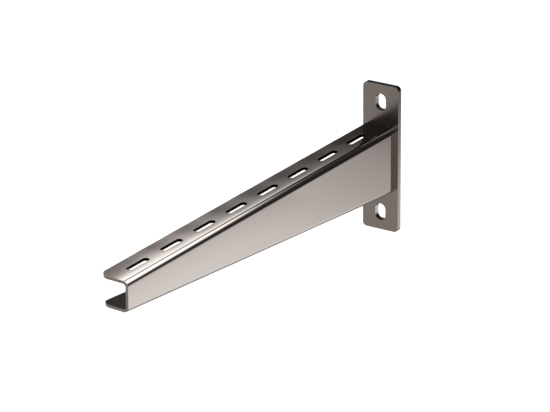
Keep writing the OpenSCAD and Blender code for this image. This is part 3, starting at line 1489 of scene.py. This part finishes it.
@dataclass(frozen=True)
class GlowCard:
    """A studio card that polished metal sees and the camera doesn't.

    It is a flat grid, and its brightness is worked out at each point of it.

    Args:
        name: Name of the card.
        corner: One corner, in metres.
        across: Way along one edge to the next corner.
        up: Way along the other edge.
        steps: Cells along each edge.
        warmth: Colours of its glow, each after its level.
    """

    name: str
    corner: Triple
    across: Triple
    up: Triple
    steps: int = 160
    warmth: tuple[tuple[float, Colour], ...] = ((0.1, (1.0, 0.90, 0.87, 1.0)),
                                                (1.0, (1.0, 0.97, 0.945, 1.0)))

    def level(self, points: np.ndarray) -> np.ndarray:
        """Give the card's brightness at points on it."""
        raise NotImplementedError

    def build(self) -> None:
        """Build the card, hidden from all but what mirrors it."""
        share = np.linspace(0.0, 1.0, self.steps + 1)[:, None]
        side = share * np.array(self.across)
        points = np.array(self.corner) + side[:, None] + (share * np.array(self.up))[None]
        flat = points.reshape(-1, 3)
        index = np.arange(len(flat)).reshape(points.shape[:2])
        mesh = bpy.data.meshes.new(self.name)
        mesh.from_pydata(flat.tolist(), [], cell_quads(index).reshape(-1, 4).tolist())
        store_share(mesh, "level", self.level(flat))
        mesh.materials.append(self.material())
        card = in_scene(self.name, mesh)
        card.visible_camera = False
        card.visible_diffuse = False
        card.visible_shadow = False
        card.visible_transmission = False

    def material(self) -> bpy.types.Material:
        """Build the card's glow, as strong as its level, and warmer where it is dim.

        Returns:
            The material.
        """
        made = bpy.data.materials.new(self.name)
        tree = cleared_tree(made)
        level = NodeGroups.attribute(tree, "level")
        glow = tree.nodes.new("ShaderNodeEmission")
        end = tree.nodes.new("ShaderNodeOutputMaterial")
        tree.links.new(NodeGroups.ramp(tree, self.warmth, level), glow.inputs["Color"])
        tree.links.new(level, glow.inputs["Strength"])
        tree.links.new(glow.outputs["Emission"], end.inputs["Surface"])
        return made


@dataclass(frozen=True)
class RearCard(GlowCard):
    """The tall card behind the bracket: dark in its middle, and paler outwards all round.

    The fold and the web see its right. There the level follows a lying ellipse about a low
    centre, by one curve above the centre and by another below. The flange sees its left, where
    a slanting gradient is times one across the card, fades in with height, and is held under a
    soft top: the level over the root of one plus the square of level over top. The left eases
    into the right along the slant, and low down the right holds all the way across.

    Args:
        middle_z: Height of the ellipse's centre.
        above_x: The centre's place across the card, for what is above it.
        below_x: The same for what is below it.
        stretch: How many times as wide as high the ellipse is.
        above: Levels by half the ellipse's width, above the centre.
        below: The same below it.
        slant: How much the slanting gradient shifts with x.
        slanting: Levels along the slant, on the left.
        sideways: What they are times across the card.
        soft_top: The soft top.
        join: Places along the slant between which the left eases into the right.
        low_fade: Heights between which the left fades in.
        foot: Height up to which the right holds all across, and the one where that has ended.
    """

    middle_z: float = 0.177
    above_x: float = -0.03
    below_x: float = -0.015
    stretch: float = 2.75
    above: Curve = ((0.60, 0.027), (0.80, 0.040), (0.88, 0.052), (0.93, 0.075), (0.99, 0.135),
                    (1.04, 0.20), (1.095, 0.32), (1.145, 0.51), (1.195, 0.78), (1.22, 1.00),
                    (1.245, 1.25), (1.30, 1.55), (1.40, 1.8))
    below: Curve = ((0.43, 0.010), (0.75, 0.030), (0.84, 0.055), (0.91, 0.09), (0.98, 0.165),
                    (1.06, 0.275), (1.18, 0.475), (1.35, 0.66), (1.51, 0.77), (1.67, 0.86),
                    (1.85, 0.94))
    slant: float = 0.745
    slanting: Curve = ((-0.045, 0.05), (-0.02, 0.20), (0.0, 0.38), (0.0135, 0.37),
                       (0.022, 0.42), (0.037, 0.57), (0.052, 0.66), (0.068, 0.74),
                       (0.08, 0.91), (0.09, 1.08), (0.10, 1.33), (0.11, 1.75), (0.12, 2.7),
                       (0.13, 4.3), (0.145, 5.6))
    sideways: Curve = ((-0.68, 0.72), (-0.64, 0.85), (-0.61, 1.03), (-0.59, 1.02),
                       (-0.55, 0.95), (-0.53, 0.80), (-0.51, 0.70), (-0.485, 0.56),
                       (-0.455, 0.43), (-0.425, 0.345), (-0.397, 0.285), (-0.378, 0.25),
                       (-0.362, 0.24), (-0.348, 0.21), (-0.333, 0.175), (-0.318, 0.125),
                       (-0.30, 0.085), (-0.28, 0.04))
    soft_top: float = 1.55
    join: tuple[float, float] = (0.20, 0.36)
    low_fade: tuple[float, float] = (0.22, 0.295)
    foot: tuple[float, float] = (0.02, 0.12)

    def level(self, points: np.ndarray) -> np.ndarray:
        """Give the card's brightness at points on it.

        Args:
            points: Points of the card, of shape (n, 3).

        Returns:
            The levels, of shape (n,).
        """
        x, z = points[:, 0], points[:, 2]
        high = (z - self.middle_z) * self.stretch
        right = np.where(high > 0, along_curve(self.above, np.hypot(x - self.above_x, high)),
                         along_curve(self.below, np.hypot(x - self.below_x, high)))
        slanted = z + self.slant * x
        left = along_curve(self.slanting, slanted) * along_curve(self.sideways, x)
        left = left * smooth_step(z, *self.low_fade)
        left = left / np.hypot(1.0, left / self.soft_top)
        share = smooth_step(slanted, *self.join)
        share = np.maximum(share, 1 - smooth_step(z, *self.foot))
        return left * (1 - share) + right * share


@dataclass(frozen=True)
class RearFloorCard(GlowCard):
    """The floor behind the bracket: dark left of its middle, and paler on both sides.

    The pattern runs slanting to the right where the floor nears the rear card, but for its far
    right, which keeps its place.

    Args:
        sideways: Levels across the card.
        away: What they are times with the distance back.
        slant_from: Where the pattern starts to slant.
        slant: How far it shifts in each metre back.
        straight: Places across between which the slant gives way.
    """

    sideways: Curve = ((-1.20, 0.65), (-0.36, 0.40), (-0.24, 0.12), (-0.19, 0.04), (-0.06, 0.04),
                       (-0.02, 0.20), (0.04, 0.60), (0.10, 0.86), (0.20, 0.93), (0.40, 1.0),
                       (0.42, 0.98), (0.433, 0.94), (0.439, 0.89), (0.445, 0.83))
    away: Curve = ((0.22, 1.0), (0.28, 0.96), (0.33, 0.92), (0.38, 0.865), (0.43, 0.79),
                   (0.50, 0.67))
    slant_from: float = 0.22
    slant: float = 0.8
    straight: tuple[float, float] = (0.25, 0.38)

    def level(self, points: np.ndarray) -> np.ndarray:
        """Give the card's brightness: one curve across it times one going away.

        Args:
            points: Points of the card, of shape (n, 3).

        Returns:
            The levels, of shape (n,).
        """
        x, y = points[:, 0], points[:, 1]
        shifted = x - self.slant * np.maximum(y - self.slant_from, 0.0)
        right = smooth_step(x, *self.straight)
        across = (along_curve(self.sideways, shifted) * (1 - right)
                  + along_curve(self.sideways, x) * right)
        return across * along_curve(self.away, y)


@dataclass(frozen=True)
class FrontFloorCard(GlowCard):
    """The floor before the bracket: a dim grey, dimmer right of its middle, pale far right.

    Args:
        away: Levels with the distance back.
        sideways: What they are times across the card.
    """

    away: Curve = ((-1.15, 0.300), (-0.98, 0.270), (-0.80, 0.272), (-0.65, 0.287),
                   (-0.50, 0.290), (-0.30, 0.320))
    sideways: Curve = ((-0.20, 1.0), (0.20, 0.58), (0.60, 0.58), (1.10, 1.7))

    def level(self, points: np.ndarray) -> np.ndarray:
        """Give the card's brightness: one curve across it times one going away."""
        return along_curve(self.sideways, points[:, 0]) * along_curve(self.away, points[:, 1])


@dataclass(frozen=True)
class FrontCard(GlowCard):
    """The dark card high before the bracket, with one dim patch.

    The patch is a bell curve, e to the power of minus the square of the distance over its width.

    Args:
        dark: Level of the card.
        patch: What the patch's middle adds to it.
        patch_at: The middle's place across, and its height.
        patch_width: Distance at which a third of the patch is left.
    """

    dark: float = 0.018
    patch: float = 0.48
    patch_at: tuple[float, float] = (0.20, 1.25)
    patch_width: float = 0.38

    def level(self, points: np.ndarray) -> np.ndarray:
        """Give the card's brightness: the dark level and the patch on it."""
        away = np.hypot(points[:, 0] - self.patch_at[0], points[:, 2] - self.patch_at[1])
        return self.dark + self.patch * np.exp(-(away / self.patch_width) ** 2)


@dataclass(frozen=True)
class SideCard(GlowCard):
    """A card to one side, which draws a grey in the steel's edges against the white surround.

    Args:
        rise: Levels by height.
    """

    rise: Curve = ((-0.30, 0.30), (0.10, 0.22), (0.70, 0.45), (1.40, 0.85))

    def level(self, points: np.ndarray) -> np.ndarray:
        """Give the card's brightness, by its height."""
        return along_curve(self.rise, points[:, 2])


@dataclass(frozen=True)
class CeilingCard(GlowCard):
    """The card over the lamps, dim at the front, which a level face sees from high up.

    Args:
        away: Levels by how far back they are.
    """

    away: Curve = ((-1.50, 0.25), (0.20, 0.40), (1.20, 0.62), (3.00, 0.90))

    def level(self, points: np.ndarray) -> np.ndarray:
        """Give the card's brightness, by how far back it is."""
        return along_curve(self.away, points[:, 1])


@dataclass(frozen=True)
class Studio:
    """The pale floor, the white surround, the soft lamps and the cards that the steel sees.

    Args:
        floor_z: Height of the floor.
        floor_half: Half its side.
        floor_colour: Its colour.
        floor_glow: How strongly it glows where it is seen.
        floor_near: Where the nearer floor card starts.
        floor_split: Where it ends, and the farther one starts.
        wall_y: Where the rear card stands.
        front_y: Where the front card stands, and the side and ceiling cards start.
        card_lift: How far the cards stand over the floor.
        surround_seen: Strength of the surround where it is seen, which is white.
        surround_light: Its strength as light.
        lamp_target: Where both lamps point.
    """

    floor_z: float = -0.30
    floor_half: float = 12.0
    floor_colour: Colour = (0.80, 0.80, 0.80, 1.0)
    floor_glow: float = 0.32
    floor_near: float = -2.80
    floor_split: float = -0.28
    wall_y: float = 0.50
    front_y: float = -1.50
    card_lift: float = 0.01
    surround_seen: float = 1.0
    surround_light: float = 0.8
    lamp_target: Triple = (0.0, -0.2, 0.0)

    def cards(self) -> list[GlowCard]:
        """Give the cards round the bracket.

        Returns:
            The cards, not yet built.
        """
        low = self.floor_z + self.card_lift
        return [
            RearCard("rear_card", corner=(-1.4, self.wall_y, low),
                     across=(2.8, 0.0, 0.0), up=(0.0, 0.0, 1.5)),
            RearFloorCard("rear_floor_card", corner=(-1.4, self.floor_split, low),
                          across=(2.8, 0.0, 0.0), up=(0.0, self.wall_y - self.floor_split, 0.0)),
            FrontFloorCard("front_floor_card", corner=(-2.4, self.floor_near, low),
                           across=(4.0, 0.0, 0.0),
                           up=(0.0, self.floor_split - self.floor_near, 0.0)),
            FrontCard("front_card", corner=(-2.8, self.front_y, low),
                      across=(5.2, 0.0, 0.0), up=(0.0, 0.0, 4.8), steps=240),
            SideCard("left_card", corner=(-1.9, self.front_y, low),
                     across=(0.0, 2.0, 0.0), up=(0.0, 0.0, 1.8)),
            SideCard("right_card", corner=(1.7, self.front_y, low),
                     across=(0.0, 2.0, 0.0), up=(0.0, 0.0, 1.8)),
            CeilingCard("ceiling_card", corner=(-2.5, self.front_y, 3.0),
                        across=(5.0, 0.0, 0.0), up=(0.0, 4.5, 0.0), steps=40),
        ]

    def surround_world(self) -> None:
        """Make the surround: white to the camera and in reflections, plain soft light else."""
        world = bpy.data.worlds.new("surround")
        tree = cleared_tree(world)
        mix = tree.nodes.new("ShaderNodeMixShader")
        tree.links.new(NodeGroups.backdrop_share(tree), mix.inputs[0])
        for socket, strength in zip(mix.inputs[1:], (self.surround_light, self.surround_seen)):
            sky = tree.nodes.new("ShaderNodeBackground")
            sky.inputs["Color"].default_value = WHITE
            sky.inputs["Strength"].default_value = strength
            tree.links.new(sky.outputs[0], socket)
        end = tree.nodes.new("ShaderNodeOutputWorld")
        tree.links.new(mix.outputs[0], end.inputs["Surface"])
        bpy.context.scene.world = world

    def floor_paint(self) -> bpy.types.Material:
        """Build the floor's paint: matt, glowing a little where seen, and clear from underneath.

        Returns:
            The material.
        """
        made = bpy.data.materials.new("pale_floor")
        tree = cleared_tree(made)
        matt = tree.nodes.new("ShaderNodeBsdfDiffuse")
        matt.inputs["Color"].default_value = self.floor_colour
        glow = tree.nodes.new("ShaderNodeEmission")
        seen = NodeGroups.backdrop_share(tree)
        tree.links.new(NodeGroups.maths(tree, "MULTIPLY", seen, self.floor_glow),
                       glow.inputs["Strength"])
        both = tree.nodes.new("ShaderNodeAddShader")
        under = tree.nodes.new("ShaderNodeNewGeometry")
        clear = tree.nodes.new("ShaderNodeBsdfTransparent")
        sided = tree.nodes.new("ShaderNodeMixShader")
        end = tree.nodes.new("ShaderNodeOutputMaterial")
        tree.links.new(matt.outputs[0], both.inputs[0])
        tree.links.new(glow.outputs[0], both.inputs[1])
        tree.links.new(under.outputs["Backfacing"], sided.inputs[0])
        tree.links.new(both.outputs[0], sided.inputs[1])
        tree.links.new(clear.outputs[0], sided.inputs[2])
        tree.links.new(sided.outputs[0], end.inputs["Surface"])
        return made

    def floor(self) -> None:
        """Lay the pale floor, which takes the bracket's shadow."""
        half = self.floor_half
        points = np.array([[-half, -half], [half, -half], [half, half], [-half, half]])
        points = np.column_stack([points, np.full(4, self.floor_z)])
        mesh = bpy.data.meshes.new("floor")
        mesh.from_pydata(points.tolist(), [], [[0, 1, 2, 3]])
        mesh.materials.append(self.floor_paint())
        in_scene("floor", mesh)

    @staticmethod
    def lamp(name: str, place: Triple, target: Triple, size: float, power: float) -> None:
        """Hang a square soft lamp, which the steel doesn't mirror.

        Args:
            name: Name of the lamp.
            place: Where it hangs, in metres.
            target: What it points at.
            size: Its side, in metres.
            power: Its power, in watts.
        """
        light = bpy.data.lights.new(name, "AREA")
        light.shape = "SQUARE"
        light.size = size
        light.energy = power
        hung = in_scene(name, light)
        hung.location = place
        way = Vector(target) - Vector(place)
        hung.rotation_euler = way.to_track_quat("-Z", "Y").to_euler()
        hung.visible_glossy = False

    def build(self) -> None:
        """Build the whole studio."""
        self.surround_world()
        self.floor()
        for card in self.cards():
            card.build()
        self.lamp("overhead_lamp", place=(-0.3, 0.9, 2.6), target=self.lamp_target,
                  size=1.4, power=22.0)
        self.lamp("rear_lamp", place=(1.6, 1.4, 1.8), target=self.lamp_target,
                  size=1.2, power=12.0)
        LOG.info("studio is set")


@dataclass(frozen=True)
class PictureCamera:
    """The camera that the reference picture was taken with, as fitted to the bracket's edges.

    Args:
        azimuth: Which way round the target it stands, in degrees from -y towards x.
        elevation: How high over the target it stands, in degrees.
        roll: How far it is turned about its own axis, in degrees.
        distance: Distance from the target.
        target: The point that its axis goes through.
        focal_px: Focal length, in pixels of the reference picture.
        centre_px: Where its axis meets the picture, in pixels from the upper left.
        sensor: Width of its sensor, in millimetres.
        clip: Least and greatest distance that it shows, in metres.
    """

    azimuth: float = 32.944
    elevation: float = 21.623
    roll: float = -0.464
    distance: float = 2859.157 * MM
    target: Triple = (20.579 * MM, -200.0 * MM, 24.422 * MM)
    focal_px: float = 3445.035
    centre_px: tuple[float, float] = (279.913, 205.476)
    sensor: float = 36.0
    clip: tuple[float, float] = (0.05, 60.0)

    def build(self) -> None:
        """Build the camera and make it the scene's."""
        a, e, r = (math.radians(v) for v in (self.azimuth, self.elevation, self.roll))
        back = np.array([math.sin(a) * math.cos(e), -math.cos(a) * math.cos(e), math.sin(e)])
        right = np.array([math.cos(a), math.sin(a), 0.0])
        up = np.cross(back, right)
        rolled_right = math.cos(r) * right + math.sin(r) * up
        rolled_up = math.cos(r) * up - math.sin(r) * right
        lens = bpy.data.cameras.new("picture_camera")
        lens.sensor_width = self.sensor
        lens.lens = self.focal_px / PICTURE_W * self.sensor
        lens.shift_x = (PICTURE_W / 2 - self.centre_px[0]) / PICTURE_W
        lens.shift_y = (self.centre_px[1] - PICTURE_H / 2) / PICTURE_W
        lens.clip_start, lens.clip_end = self.clip
        camera = in_scene("picture_camera", lens)
        turn = np.column_stack([rolled_right, rolled_up, back])
        place = np.array(self.target) + back * self.distance
        camera.matrix_world = Matrix.Translation(place) @ Matrix(turn.tolist()).to_4x4()
        bpy.context.scene.camera = camera


def main() -> None:
    """Build the camera, the bracket and the studio."""
    logging.basicConfig(level=logging.INFO, format="%(name)s: %(message)s")
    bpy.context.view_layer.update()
    view = bpy.context.scene.view_settings
    view.view_transform = "Standard"
    PictureCamera().build()
    Bracket().build(NodeGroups())
    Studio().build()


if __name__ == "__main__":
    main()
